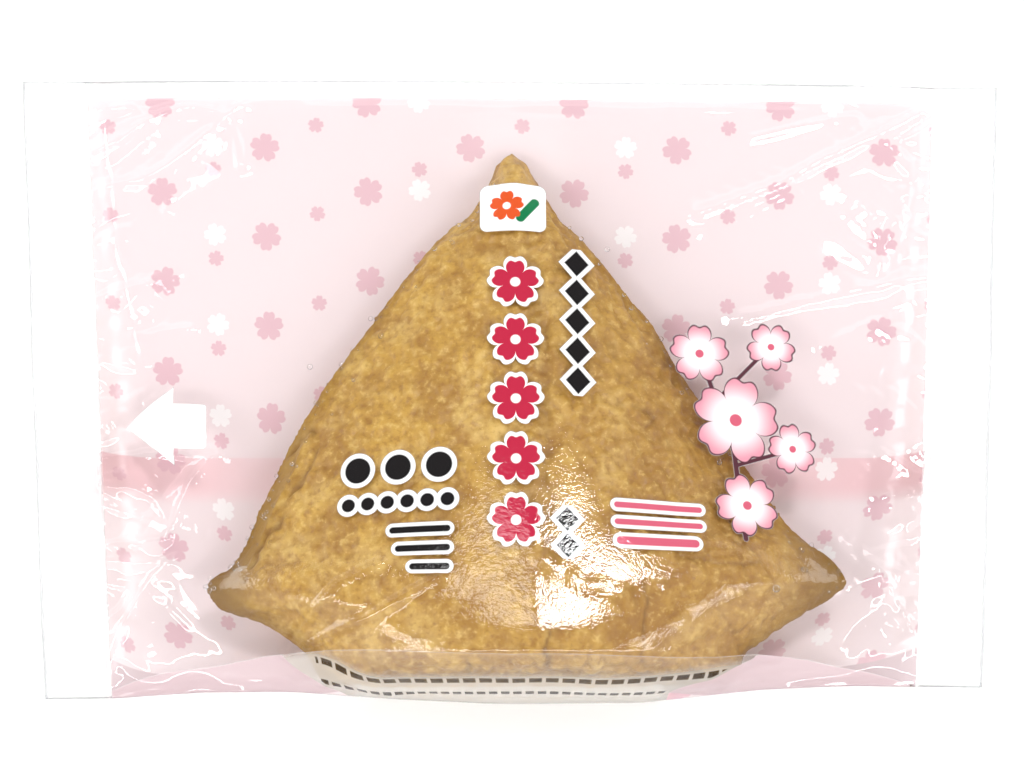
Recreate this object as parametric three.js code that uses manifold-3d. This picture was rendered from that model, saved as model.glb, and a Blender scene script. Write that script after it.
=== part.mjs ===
// Inari sushi in a sealed flow-wrap pack, lying on its back.
// Millimetres, +Z up. +X runs along the pack from seal to seal, +Y from the sushi's base to its tip.
// The shut pack is one closed solid: the taut film over a wedge of filled fried tofu, and a crimped seal
// at each end. The origin is under the middle of the pack's box, on the surface that it lies on.

import * as THREE from 'three';
import { ConvexGeometry } from 'three/addons/geometries/ConvexGeometry.js';
import { mergeVertices } from 'three/addons/utils/BufferGeometryUtils.js';
import Module from 'manifold-3d';

const wasm = await Module();
wasm.setup();

// --- Driving dimensions --------------------------------------------------------------------------

// The sushi: a three-cornered pouch, thick and round along its base and thin at its tip.
const TIP = { x: 0, y: 35, halfWidth: 2.6, thickness: 8 };
const BASE = { y: -51.3, left: -35, right: 38, thickness: 22.6 };
const LEFT_EAR = { x: -46.5, y: -37.5 };
const RIGHT_EAR = { x: 50.5, y: -34.5 };
const EAR_CURVE = 1.6; // how roundly the base is cut back to the ears: 1 would be straight
const THICKENING = 0.75; // how early it thickens from tip to base: 1 would be steadily
const DOME = { power: 2.4, root: 0.7 }; // how broad the upper face stays before it falls to its edges
const TURN_UP = 1.6; // how late the underside turns up to its edges
const NOSE_DEPTH = 10.5; // the base is rounded off over this depth
const NOSE_POWER = 3; // 2 would round it as a quarter circle, more is squarer
const RIDGE_AT_BASE_X = 4;
const RIDGE_HEIGHT = 1.3; // how far the ridge stands over the two slopes beside it
const EAR_LEVEL = 0.45; // height of the side corners, as a share of the thickness there
const FLAT_SHARE = 0.62; // how much of the underside lies flat on the table
const FILM_CLEARANCE = 0.7; // film and trapped air over the food
const TOUCHING = 0.02; // lower than this, a point of the underside is part of the flat

// The pack: two crimped seals that lean in towards the base.
const SEAL_WIDTH = 10.4;
const SEAL_THICKNESS = 0.9;
const SEAL_OVERLAP = 1.2; // how far the seal's root runs into the filled part
const ROOT_MARGIN = 0.25; // the filled part stands proud of the seal's root all round
const LEFT_SEAL = { topX: -79.8, topY: 49.5, bottomX: -72.3, bottomY: -51.5 };
const RIGHT_SEAL = { topX: 79.1, topY: 48.5, bottomX: 72.8, bottomY: -50.0 };
const SEAL_HEIGHT = { top: 2.4, bottom: 7.8 }; // above the table: it rides higher beside the thick base
const SEAL_ARCH = 1.2;
const SEAL_DROOP = 0.12; // how much of its height the free outer edge loses
const SEAL_WAVE = { height: 0.45, halfWaves: 5, phase: 0.6 }; // ripple of the free outer edge

// Fineness of the curved surfaces.
const STATIONS = 18;
const NOSE_STATIONS = 9;
const AROUND = 28;
const SEAL_STEPS = 28;
const SEAL_ACROSS_STEPS = 4;
const MERGE_DISTANCE = 1e-5;

// --- The sushi's sections ------------------------------------------------------------------------

const mix = THREE.MathUtils.lerp;

// Left and right edge of the plan outline at a given y. The sides run straight from the tip to the ears,
// and the base is cut back to them in a curve.
function sidesAt(y) {
  const side = (ear, tipX, baseX) => {
    const toEar = (TIP.y - y) / (TIP.y - ear.y);
    if (toEar <= 1) return mix(tipX, ear.x, toEar);
    return mix(ear.x, baseX, Math.pow((ear.y - y) / (ear.y - BASE.y), EAR_CURVE));
  };
  const left = side(LEFT_EAR, TIP.x - TIP.halfWidth, BASE.left);
  const right = side(RIGHT_EAR, TIP.x + TIP.halfWidth, BASE.right);
  return [left, right];
}

// Points round the section at y. The upper face is a broad dome with a soft ridge, the lower face is flat
// in the middle and turns up to the side corners, and both close in round the nose of the base.
function sectionPoints(y) {
  const t = (TIP.y - y) / (TIP.y - BASE.y);
  const [left, right] = sidesAt(y);
  const ridgeX = mix(TIP.x, RIDGE_AT_BASE_X, t);
  const thickness = mix(TIP.thickness, BASE.thickness, Math.pow(t, THICKENING));
  const intoNose = Math.max(0, (BASE.y + NOSE_DEPTH - y) / NOSE_DEPTH);
  const rounding = Math.pow(Math.max(0, 1 - Math.pow(intoNose, NOSE_POWER)), 1 / NOSE_POWER);
  const earZ = EAR_LEVEL * thickness;
  const points = [];
  for (let i = 0; i < AROUND; i += 1) {
    const angle = (2 * Math.PI * i) / AROUND;
    const across = Math.cos(angle); // -1 at the left corner, 1 at the right one
    const x = across < 0 ? mix(ridgeX, left, -across) : mix(ridgeX, right, across);
    const fall = Math.abs(across);
    const dome = (thickness - earZ) * Math.pow(1 - Math.pow(fall, DOME.power), DOME.root);
    const ridge = RIDGE_HEIGHT * t * Math.pow(1 - fall, 2);
    const turnUp = Math.max(0, (fall - FLAT_SHARE) / (1 - FLAT_SHARE));
    const isUpper = i <= AROUND / 2;
    const upper = earZ + (dome + ridge) * rounding + FILM_CLEARANCE;
    const lower = earZ - earZ * (1 - Math.pow(turnUp, TURN_UP)) * rounding;
    const onFlat = !isUpper && lower < TOUCHING;
    if (!onFlat) points.push(new THREE.Vector3(x, y, isUpper ? upper : lower));
  }
  return points;
}

// The corners of the flat that the food lies on.
function footprintPoints() {
  const points = [];
  for (const y of [TIP.y, BASE.y + NOSE_DEPTH]) {
    const t = (TIP.y - y) / (TIP.y - BASE.y);
    const ridgeX = mix(TIP.x, RIDGE_AT_BASE_X, t);
    for (const edge of sidesAt(y)) points.push(new THREE.Vector3(mix(ridgeX, edge, FLAT_SHARE), y, 0));
  }
  return points;
}

// Where the sections are taken: evenly down to the nose, then closer together round it.
function stations() {
  const ys = [];
  const noseTop = BASE.y + NOSE_DEPTH;
  for (let i = 0; i < STATIONS; i += 1) ys.push(mix(TIP.y, noseTop, i / STATIONS));
  for (let i = 0; i < NOSE_STATIONS; i += 1) {
    ys.push(noseTop - NOSE_DEPTH * Math.sin((Math.PI / 2) * (i / NOSE_STATIONS)));
  }
  return ys;
}

// --- The seals -----------------------------------------------------------------------------------

// A point on a seal: along from its top (0) to its bottom (1), in from its outer edge by a width.
function sealPoint(seal, along, inward) {
  const towardsMiddle = -Math.sign(seal.topX);
  const x = mix(seal.topX, seal.bottomX, along) + towardsMiddle * inward;
  const y = mix(seal.topY, seal.bottomY, along);
  const level = mix(SEAL_HEIGHT.top, SEAL_HEIGHT.bottom, along * along * (3 - 2 * along));
  const arch = SEAL_ARCH * Math.sin(Math.PI * along);
  const free = 1 - Math.min(inward / SEAL_WIDTH, 1);
  const ripple = SEAL_WAVE.height * free * Math.sin(SEAL_WAVE.halfWaves * Math.PI * along + SEAL_WAVE.phase);
  return new THREE.Vector3(x, y, (level + arch) * (1 - SEAL_DROOP * free) + ripple);
}

// One crimped seal: a thin band whose two faces carry the same waves.
function sealGeometry(seal) {
  const acrossSteps = SEAL_ACROSS_STEPS;
  const band = SEAL_WIDTH + SEAL_OVERLAP;
  const columns = acrossSteps + 1;
  const layer = columns * (SEAL_STEPS + 1);
  const positions = [];
  for (const lift of [0, -SEAL_THICKNESS]) {
    for (let i = 0; i <= SEAL_STEPS; i += 1) {
      for (let j = 0; j <= acrossSteps; j += 1) {
        const point = sealPoint(seal, i / SEAL_STEPS, (band * j) / acrossSteps);
        positions.push(point.x, point.y, point.z + lift);
      }
    }
  }
  const index = [];
  const quad = (a, b, c, d) => index.push(a, b, c, a, c, d);
  for (let i = 0; i < SEAL_STEPS; i += 1) {
    for (let j = 0; j < acrossSteps; j += 1) {
      const a = i * columns + j;
      quad(a, a + columns, a + columns + 1, a + 1);
      quad(layer + a, layer + a + 1, layer + a + columns + 1, layer + a + columns);
    }
  }
  const rim = [];
  for (let j = 0; j < acrossSteps; j += 1) rim.push(j);
  for (let i = 0; i < SEAL_STEPS; i += 1) rim.push(i * columns + acrossSteps);
  for (let j = acrossSteps; j > 0; j -= 1) rim.push(SEAL_STEPS * columns + j);
  for (let i = SEAL_STEPS; i > 0; i -= 1) rim.push(i * columns);
  rim.forEach((a, k) => {
    const b = rim[(k + 1) % rim.length];
    quad(a, b, layer + b, layer + a);
  });
  if (seal.topX > 0) index.reverse(); // the right seal is the left one's mirror image
  const geometry = new THREE.BufferGeometry();
  geometry.setAttribute('position', new THREE.Float32BufferAttribute(positions, 3));
  geometry.setIndex(index);
  return geometry;
}

// --- Joining -------------------------------------------------------------------------------------

function toManifold(geometry) {
  const bare = geometry.clone();
  bare.deleteAttribute('normal');
  bare.deleteAttribute('uv');
  const merged = mergeVertices(bare, MERGE_DISTANCE);
  return new wasm.Manifold(
    new wasm.Mesh({
      numProp: 3,
      vertProperties: new Float32Array(merged.attributes.position.array),
      triVerts: new Uint32Array(merged.index.array),
    }),
  );
}

function toGeometry(manifold) {
  const mesh = manifold.getMesh();
  const geometry = new THREE.BufferGeometry();
  geometry.setAttribute('position', new THREE.BufferAttribute(new Float32Array(mesh.vertProperties), 3));
  geometry.setIndex(new THREE.BufferAttribute(new Uint32Array(mesh.triVerts), 1));
  return geometry;
}

// The film is stretched over the food and between the two seals, so it takes the form of their hull.
function filledPart() {
  const points = footprintPoints();
  for (const y of stations()) points.push(...sectionPoints(y));
  for (const seal of [LEFT_SEAL, RIGHT_SEAL]) {
    for (let i = 0; i <= SEAL_STEPS; i += 1) {
      const along = i / SEAL_STEPS;
      const root = sealPoint(seal, along, SEAL_WIDTH);
      const y = root.y + ROOT_MARGIN * (1 - 2 * along);
      points.push(new THREE.Vector3(root.x, y, root.z + ROOT_MARGIN));
      points.push(new THREE.Vector3(root.x, y, root.z - SEAL_THICKNESS - ROOT_MARGIN));
    }
  }
  return new ConvexGeometry(points);
}

let pack = toManifold(filledPart());
for (const seal of [LEFT_SEAL, RIGHT_SEAL]) pack = pack.add(toManifold(sealGeometry(seal)));

const filmPack = new THREE.Mesh(
  toGeometry(pack),
  new THREE.MeshStandardMaterial({ color: 0xf3dfe2, roughness: 0.12, metalness: 0 }),
);
filmPack.name = 'film_pack';

// The origin goes under the middle of the box, on the table.
filmPack.geometry.computeBoundingBox();
const box = filmPack.geometry.boundingBox;
filmPack.geometry.translate(-(box.min.x + box.max.x) / 2, -(box.min.y + box.max.y) / 2, -box.min.z);
filmPack.geometry.computeVertexNormals();

const model = new THREE.Group();
model.add(filmPack);

export default model;
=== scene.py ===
import math

import bpy
import numpy as np
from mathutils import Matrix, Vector, noise


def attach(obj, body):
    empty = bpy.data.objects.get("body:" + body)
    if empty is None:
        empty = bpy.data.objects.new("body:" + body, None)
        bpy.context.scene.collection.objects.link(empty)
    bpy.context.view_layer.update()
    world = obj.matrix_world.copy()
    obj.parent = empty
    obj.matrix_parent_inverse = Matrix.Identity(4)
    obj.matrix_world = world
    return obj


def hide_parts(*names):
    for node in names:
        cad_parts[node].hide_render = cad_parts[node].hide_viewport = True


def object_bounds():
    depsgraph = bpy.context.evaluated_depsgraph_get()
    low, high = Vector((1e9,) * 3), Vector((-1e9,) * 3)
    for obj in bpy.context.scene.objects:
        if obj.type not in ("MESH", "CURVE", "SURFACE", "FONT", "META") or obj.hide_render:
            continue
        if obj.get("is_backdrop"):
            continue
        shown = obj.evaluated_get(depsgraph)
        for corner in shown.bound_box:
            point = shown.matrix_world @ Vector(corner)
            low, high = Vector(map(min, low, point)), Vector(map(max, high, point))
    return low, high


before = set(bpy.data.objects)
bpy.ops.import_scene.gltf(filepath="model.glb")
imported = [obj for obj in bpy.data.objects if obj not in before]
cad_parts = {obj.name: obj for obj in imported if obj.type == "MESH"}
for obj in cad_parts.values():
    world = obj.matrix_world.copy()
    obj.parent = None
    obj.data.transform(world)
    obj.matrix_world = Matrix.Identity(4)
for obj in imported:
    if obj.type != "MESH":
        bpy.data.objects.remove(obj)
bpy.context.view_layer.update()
scene = bpy.context.scene


# --- The table, the light and the camera ---------------------------------------------------------------
# A smooth white card in a white tent that is dim overhead, with a curved light tube along the near side of
# the dim part, two bulbs above and low soft boxes at both sides. Folds in the film throw their light back.

MM = 0.001
CARD_SIZE = 3.0
WALL_LIGHT = 1.22
WALL_FOOT_SHARE = 0.45  # of the walls' light, at their foot
CEILING_LIGHT = 0.22
CEILING_EDGE = (50, 38)  # degrees from its middle, from the walls' light to its own
TENT_TILT = math.radians(15)
TUBE_LIGHT = 17.0
TUBE_RADIUS = math.radians(42)
TUBE_HALF_WIDTH = math.radians(1.4)
TUBE_EDGE = 0.01

# A bare bulb and the soft glow of a shaded one: the way to each, its radius in degrees, its brightness.
BULBS = (((0.18, 0.40, 0.899), 5.0, 34.0), ((-0.12, 0.39, 0.913), 4.6, 6.0))
BULB_EDGE = (1.1, 0.9)  # from no light to full light, in radii

# name: azimuth, elevation, distance (m), width and height (m), brightness
SOFT_BOXES = {
    "left_box": (256, 27, 0.90, 0.40, 0.30, 4.2),
    "right_box": (104, 27, 0.90, 0.40, 0.30, 3.0),
}

CAMERA_ELEVATION = math.radians(77)
CAMERA_DISTANCE = 0.5
CAMERA_AIM = (0.35 * MM, 1.0 * MM, 0.0)
PICTURE_WIDTH = 1024
FOCAL_LENGTH_PIXELS = 3122
SENSOR_WIDTH = 36.0


def linear(red, green, blue):
    """A colour given as it looks on a screen, 0 to 255, in the linear light that shaders work in."""
    share = [c / 255 for c in (red, green, blue)]
    return tuple(c / 12.92 if c <= 0.04045 else ((c + 0.055) / 1.055) ** 2.4 for c in share) + (1.0,)


class Flow:
    """What comes out of a node. Sums are written with it as with numbers, and become nodes."""

    def __init__(self, tree, socket):
        self.tree = tree
        self.socket = socket

    def __add__(self, other):
        return maths("ADD", self, other)

    def __sub__(self, other):
        return maths("SUBTRACT", self, other)

    def __rsub__(self, other):
        return maths("SUBTRACT", other, self)

    def __mul__(self, other):
        return maths("MULTIPLY", self, other)

    def __truediv__(self, other):
        return maths("DIVIDE", self, other)

    def __mod__(self, other):
        return maths("FLOORED_MODULO", self, other)


def put(socket, value):
    """Links a flow to a node's input, or sets a plain value on it."""
    if isinstance(value, Flow):
        value.tree.links.new(value.socket, socket)
    else:
        socket.default_value = value


def add_node(tree, kind, inputs=(), output=0, **settings):
    """Adds a node with its settings and inputs, and gives one of its outputs."""
    node = tree.nodes.new(kind)
    for name, setting in settings.items():
        setattr(node, name, setting)
    for name, value in dict(inputs).items():
        put(node.inputs[name], value)
    return Flow(tree, node.outputs[output])


def tree_of(values):
    return next(value.tree for value in values if isinstance(value, Flow))


def maths(operation, *values, **settings):
    return add_node(tree_of(values), "ShaderNodeMath", enumerate(values), operation=operation, **settings)


def vector(operation, *values, output="Vector"):
    return add_node(tree_of(values), "ShaderNodeVectorMath", enumerate(values), output, operation=operation)


def dot(first, second):
    return vector("DOT_PRODUCT", first, second, output="Value")


def split(values):
    """The three parts of a vector."""
    parts = add_node(values.tree, "ShaderNodeSeparateXYZ", {0: values}).socket.node.outputs
    return [Flow(values.tree, part) for part in parts]


def ramp(value, low, high, out_low=0.0, out_high=1.0):
    """A value carried from one range to another with soft ends."""
    names = ("Value", "From Min", "From Max", "To Min", "To Max")
    inputs = zip(names, (value, low, high, out_low, out_high))
    return add_node(value.tree, "ShaderNodeMapRange", inputs, "Result", interpolation_type="SMOOTHSTEP")


def new_material(name):
    material = bpy.data.materials.new(name)
    material.use_nodes = True
    material.node_tree.nodes.clear()
    return material


def finish_material(material, shader):
    output = material.node_tree.nodes.new("ShaderNodeOutputMaterial")
    put(output.inputs["Surface"], shader)


bpy.ops.mesh.primitive_plane_add(size=CARD_SIZE)
card = bpy.context.object
card.name = "white_card"
card_finish = new_material("white_card")
card_look = {"Base Color": (0.97, 0.97, 0.97, 1), "Roughness": 0.8}
finish_material(card_finish, add_node(card_finish.node_tree, "ShaderNodeBsdfPrincipled", card_look))
card.data.materials.append(card_finish)
card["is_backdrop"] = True

room = bpy.data.worlds.new("white_room")
room.use_nodes = True
way_out = add_node(room.node_tree, "ShaderNodeTexCoord", output="Generated")
_, way_out_y, way_out_z = split(way_out)
overhead = dot(way_out, (0, math.sin(TENT_TILT), math.cos(TENT_TILT)))
ceiling_edge = [math.cos(math.radians(angle)) for angle in CEILING_EDGE]
wall = ramp(overhead, *ceiling_edge, WALL_LIGHT, CEILING_LIGHT)
wall = wall * ramp(way_out_z, 0.1, 0.5, WALL_FOOT_SHARE, 1.0)
low_edge, high_edge = (math.cos(TUBE_RADIUS + side * TUBE_HALF_WIDTH) for side in (1, -1))
tube = ramp(overhead, low_edge - TUBE_EDGE, low_edge + TUBE_EDGE)
tube = tube * ramp(overhead, high_edge + TUBE_EDGE, high_edge - TUBE_EDGE)
tube = tube * ramp(way_out_y, -0.05, -0.15)
glow = tube * TUBE_LIGHT + wall
for bulb_way, radius, brightness in BULBS:
    bulb_edge = [math.cos(math.radians(share * radius)) for share in BULB_EDGE]
    glow = ramp(dot(way_out, bulb_way), *bulb_edge) * brightness + glow
background = room.node_tree.nodes["Background"]
put(background.inputs["Color"], (1, 1, 1, 1))
put(background.inputs["Strength"], glow)
scene.world = room
scene.view_settings.view_transform = "Standard"

for name, (azimuth, elevation, distance, width, height, brightness) in SOFT_BOXES.items():
    box = bpy.data.lights.new(name, "AREA")
    box.shape = "RECTANGLE"
    box.size = width
    box.size_y = height
    box.energy = brightness * math.pi * width * height
    turn, lift = math.radians(azimuth), math.radians(elevation)
    way = Vector((math.sin(turn) * math.cos(lift), -math.cos(turn) * math.cos(lift), math.sin(lift)))
    lamp = bpy.data.objects.new(name, box)
    lamp.location = way * distance
    lamp.rotation_euler = (-way).to_track_quat("-Z", "Y").to_euler()
    scene.collection.objects.link(lamp)

camera = bpy.data.objects.new("camera", bpy.data.cameras.new("camera"))
camera.data.sensor_width = SENSOR_WIDTH
camera.data.lens = FOCAL_LENGTH_PIXELS / PICTURE_WIDTH * SENSOR_WIDTH
camera.data.clip_start = 0.05
camera_back = Vector((0, -math.cos(CAMERA_ELEVATION), math.sin(CAMERA_ELEVATION)))
camera.location = Vector(CAMERA_AIM) + camera_back * CAMERA_DISTANCE
camera.rotation_euler = (math.pi / 2 - CAMERA_ELEVATION, 0, 0)
scene.collection.objects.link(camera)
scene.camera = camera


# --- The inari sushi -----------------------------------------------------------------------------------
# A pouch cut from one sheet of fried tofu, simmered in sweet soy broth and packed with vinegared rice.
# Its two faces meet in a folded edge that runs round three corners, and its mouth is tucked under.
# All lengths from here on are in millimetres, in the frame of the pack, until a mesh is made.

TIP_Y = 38.2
THIN_END_Y = 36.0
BASE_Y = -49.3
TIP_THICKNESS = 8.0
BASE_THICKNESS = 22.6
NOSE_DEPTH = 9.5
NOSE_POWER = 3.2  # 2 would be a quarter circle, more is squarer
TIP_ROUNDING = 5.0
RIDGE_AT_TIP_X = 0.35
RIDGE_AT_BASE_X = 4.35
RIDGE_HEIGHT = 1.3
THICKENING = 0.75  # how early it thickens from tip to base, 1 would be steadily
DOME_POWER = 2.4  # how broad the upper face stays before it falls to its edges
DOME_ROOT = 0.7
EAR_LEVEL = 0.45  # of the folded edge, as a share of the thickness there
FLAT_SHARE = 0.62
TURN_UP = 1.6  # how late the underside turns up to the edge
REST_LEVEL = 0.6  # the fin of the film and the film itself lie under the food

# The folded edge seen from above, from the tip past the side corner to the base: y, then x.
LEFT_EDGE = (
    (38.2, 0.3), (36.2, -2.4), (31.0, -4.2), (27.2, -6.7), (24.5, -10.4), (20.4, -14.0), (15.0, -18.1),
    (9.6, -21.7), (4.3, -25.4), (-1.0, -29.0), (-6.2, -32.2), (-11.4, -34.9), (-16.6, -37.0), (-21.8, -39.4),
    (-26.9, -41.2), (-30.7, -43.3), (-32.0, -46.3), (-33.6, -47.3), (-34.9, -47.0), (-36.4, -45.9),
    (-37.8, -44.2), (-38.9, -39.8), (-42.0, -34.5), (-44.4, -31.6), (-49.3, -28.5),
)
RIGHT_EDGE = (
    (38.2, 0.3), (36.2, 3.0), (30.0, 6.2), (26.2, 8.6), (23.2, 11.8), (19.6, 14.7), (16.2, 17.3),
    (12.7, 19.6), (8.8, 23.0), (4.7, 25.2), (1.3, 26.8), (-5.0, 31.2), (-10.0, 34.3), (-15.0, 37.3),
    (-20.0, 40.7), (-24.2, 43.5), (-27.4, 47.6), (-29.4, 50.2), (-31.5, 51.8), (-33.1, 52.6), (-34.4, 52.0),
    (-35.5, 50.0), (-37.5, 46.9), (-39.4, 43.6), (-41.6, 40.3), (-44.4, 36.4), (-49.3, 34.6),
)

SKIN_GRAIN = 0.45
SECTION_COUNT = 120
SECTION_POINTS = 72


def mix(a, b, share):
    return a + (b - a) * share


def soft_step(low, high, value):
    share = np.clip((value - low) / (high - low), 0, 1)
    return share * share * (3 - 2 * share)


def smooth_edge(stations):
    """A folded edge as two long rows of numbers, y rising, with its corners slightly rounded."""
    ys = np.linspace(TIP_Y, BASE_Y, 701)
    xs = np.interp(-ys, [-y for y, _ in stations], [x for _, x in stations])
    window = np.hanning(11)
    padded = np.concatenate([np.full(5, xs[0]), xs, np.full(5, xs[-1])])
    return ys[::-1].copy(), np.convolve(padded, window / window.sum(), "valid")[::-1].copy()


left_edge = smooth_edge(LEFT_EDGE)
right_edge = smooth_edge(RIGHT_EDGE)


def ridge_at(y):
    """How far a place is from the thin end to the base, as a share, and where the ridge runs there."""
    down = np.clip((THIN_END_Y - y) / (THIN_END_Y - BASE_Y), 0, 1)
    return down, mix(RIDGE_AT_TIP_X, RIDGE_AT_BASE_X, down)


def pouch_levels(x, y):
    """How far out a point is (0 on the ridge, 1 on the folded edge), and the heights of the folded edge,
    of the upper face over it and of the lower face under it."""
    down, ridge_x = ridge_at(y)
    left, right = np.interp(y, *left_edge), np.interp(y, *right_edge)
    out = np.where(x < ridge_x, (ridge_x - x) / np.maximum(ridge_x - left, 1e-3),
                   (x - ridge_x) / np.maximum(right - ridge_x, 1e-3))
    thickness = mix(TIP_THICKNESS, BASE_THICKNESS, down ** THICKENING)
    into_nose = np.clip((BASE_Y + NOSE_DEPTH - y) / NOSE_DEPTH, 0, 1)
    into_tip = np.clip((y - TIP_Y + TIP_ROUNDING) / TIP_ROUNDING, 0, 1)
    rounding = np.clip(1 - into_nose ** NOSE_POWER, 0, 1) ** (1 / NOSE_POWER)
    rounding = rounding * np.sqrt(np.clip(1 - into_tip ** 2, 0, 1))
    within = np.clip(out, 0, 1)
    fold_z = EAR_LEVEL * thickness
    dome = (thickness - fold_z) * (1 - within ** DOME_POWER) ** DOME_ROOT
    ridge = RIDGE_HEIGHT * down * (1 - within) ** 2
    turn_up = np.clip((within - FLAT_SHARE) / (1 - FLAT_SHARE), 0, 1)
    return out, fold_z, (dome + ridge) * rounding, fold_z * (1 - turn_up ** TURN_UP) * rounding


def mesh_object(name, points, faces, smooth=True):
    """An object at the origin from points in millimetres and faces as rows of point numbers."""
    mesh = bpy.data.meshes.new(name)
    mesh.from_pydata(np.asarray(points) * MM, [], faces, shade_flat=not smooth)
    made = bpy.data.objects.new(name, mesh)
    scene.collection.objects.link(made)
    return made


def tube_faces(ring_count, ring_size):
    """The faces round a tube whose points are numbered ring by ring."""
    number = np.arange(ring_count * ring_size).reshape(ring_count, ring_size)
    here, there = number[:-1], number[1:]
    return np.stack([here, np.roll(here, -1, 1), np.roll(there, -1, 1), there], -1).reshape(-1, 4).tolist()


def read_points(mesh, what):
    """The places ("co") or the normals ("normal") of a mesh's points, as rows of three."""
    values = np.zeros(len(mesh.vertices) * 3, np.float32)
    mesh.vertices.foreach_get(what, values)
    return values.reshape(-1, 3).astype(float)


def mark_points(mesh, name, values):
    """Writes one number for each point of a mesh, for its materials or modifiers to read."""
    attribute = mesh.attributes.new(name, "FLOAT", "POINT")
    attribute.data.foreach_set("value", values.astype(np.float32).ravel())


def settled_mesh(made):
    """The object's mesh with its modifiers worked in, and the modifiers gone."""
    graph = bpy.context.evaluated_depsgraph_get()
    mesh = bpy.data.meshes.new_from_object(made.evaluated_get(graph))
    made.modifiers.clear()
    old = made.data
    made.data = mesh
    bpy.data.meshes.remove(old)
    mesh.name = made.name
    return mesh


# The bare pouch: sections across it, closed at the tip and along the nose of the base.
ring = np.arange(SECTION_POINTS)
outward = np.cos(ring * 2 * math.pi / SECTION_POINTS)
slide = (1 - np.cos(np.linspace(0.02, math.pi - 0.02, SECTION_COUNT))) / 2
y = np.repeat(mix(TIP_Y, BASE_Y, slide)[:, None], SECTION_POINTS, 1)
_, ridge_x = ridge_at(y)
left, right = np.interp(y, *left_edge), np.interp(y, *right_edge)
x = np.where(outward < 0, mix(ridge_x, left, -outward), mix(ridge_x, right, outward))
_, fold_z, upper, lower = pouch_levels(x, y)
z = fold_z + np.where(ring <= SECTION_POINTS // 2, upper, -lower)
pouch_points = np.stack([x, y, np.maximum(z, REST_LEVEL)], -1).reshape(-1, 3)
pouch_faces = tube_faces(SECTION_COUNT, SECTION_POINTS)
pouch_faces += [ring[::-1].tolist(), (ring + (SECTION_COUNT - 1) * SECTION_POINTS).tolist()]
sushi = mesh_object("inari_sushi", pouch_points, pouch_faces)
even_skin = sushi.modifiers.new("even_skin", "REMESH")
even_skin.mode = "VOXEL"
even_skin.voxel_size = SKIN_GRAIN * MM
even_skin.use_smooth_shade = True
sushi_mesh = settled_mesh(sushi)

# Creases that can be told apart in the skin: points along each, half its width, its depth.
CREASES = (
    (((1.5, 31), (3.0, 20), (4.6, 8), (5.2, -4), (6.0, -20), (6.4, -34), (5.6, -43)), 1.3, 0.16),
    (((5.6, -35.5), (5.1, -38), (5.7, -42), (5.4, -48)), 0.32, 0.5),
    (((20.0, -34.0), (20.9, -38), (20.1, -41), (20.4, -47)), 0.32, 0.42),
    (((-5.5, -44.0), (-6.0, -49)), 0.35, 0.4),
    (((19.5, -6.5), (22.6, -7.6), (25.0, -6.8)), 0.4, 0.4),
    (((22.6, -7.6), (21.2, -9.2)), 0.3, 0.3),
    (((-31.0, -9.0), (-32.8, -11.6), (-35.2, -12.4)), 0.5, 0.5),
    (((-29.5, -12.0), (-32.7, -17.6), (-34.8, -20.7), (-36.1, -23.7), (-37.4, -26.2), (-38.4, -28.0),
      (-39.9, -30.8), (-41.4, -33.2)), 0.35, 0.45),
    (((8.0, 20.0), (13.0, 12.0), (18.0, 5.0)), 0.6, 0.25),
    (((13.5, 12.5), (16.5, 4.0), (17.5, -6.0)), 0.7, 0.22),
    (((1.0, -35.6), (4.0, -36.6), (5.4, -35.8)), 0.3, 0.4),
    (((26.0, -30.0), (33.0, -31.5), (38.0, -31.0)), 0.5, 0.3),
)
BROAD_WAVE = 15.0
BROAD_DEPTH = 0.4
PUFF_SIZE = 2.4
PUFF_DEPTH = 0.5
GRAIN_SIZE = 0.8
GRAIN_DEPTH = 0.09
WRINKLE_SIZE = (3.4, 3.4 * 3.2, 3.4)
WRINKLE_DEPTH = 0.45
VEIN_SIZE = (2.6, 9.0, 4.0)
VEIN_LEAN = math.radians(25)
VEIN_DEPTH = 0.35
HEM_WIDTH = 2.4
HEM_DEPTH = 0.28
CREASE_WANDER = 0.9
RELIEF_LIFT = 0.15  # so that the relief stands out of the bare pouch as much as it sinks into it


def distance_to_line(x, y, line):
    """How far points lie from a line of straight stretches, all seen from above."""
    nearest = np.full(x.shape, 1e9)
    for (ax, ay), (bx, by) in zip(line[:-1], line[1:]):
        dx, dy = bx - ax, by - ay
        share = np.clip(((x - ax) * dx + (y - ay) * dy) / (dx * dx + dy * dy), 0, 1)
        nearest = np.minimum(nearest, np.hypot(x - ax - share * dx, y - ay - share * dy))
    return nearest


def noise_at(points, size, offset):
    """Smooth noise, about -1 to 1, whose lumps are as large as size along each axis."""
    scaled = points / np.asarray(size) + offset
    return np.array([noise.noise(Vector(p)) for p in scaled.tolist()])


def lines_in_noise(points, size, offset, narrowness):
    """Ridges that wander in all directions: 1 along each, and less on both sides."""
    return 1 - np.abs(noise_at(points, size, offset)) * narrowness


skin = read_points(sushi_mesh, "co") / MM
facing = read_points(sushi_mesh, "normal")
skin_x, skin_y = skin[:, 0], skin[:, 1]
upward = soft_step(-0.1, 0.35, facing[:, 2])

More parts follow.
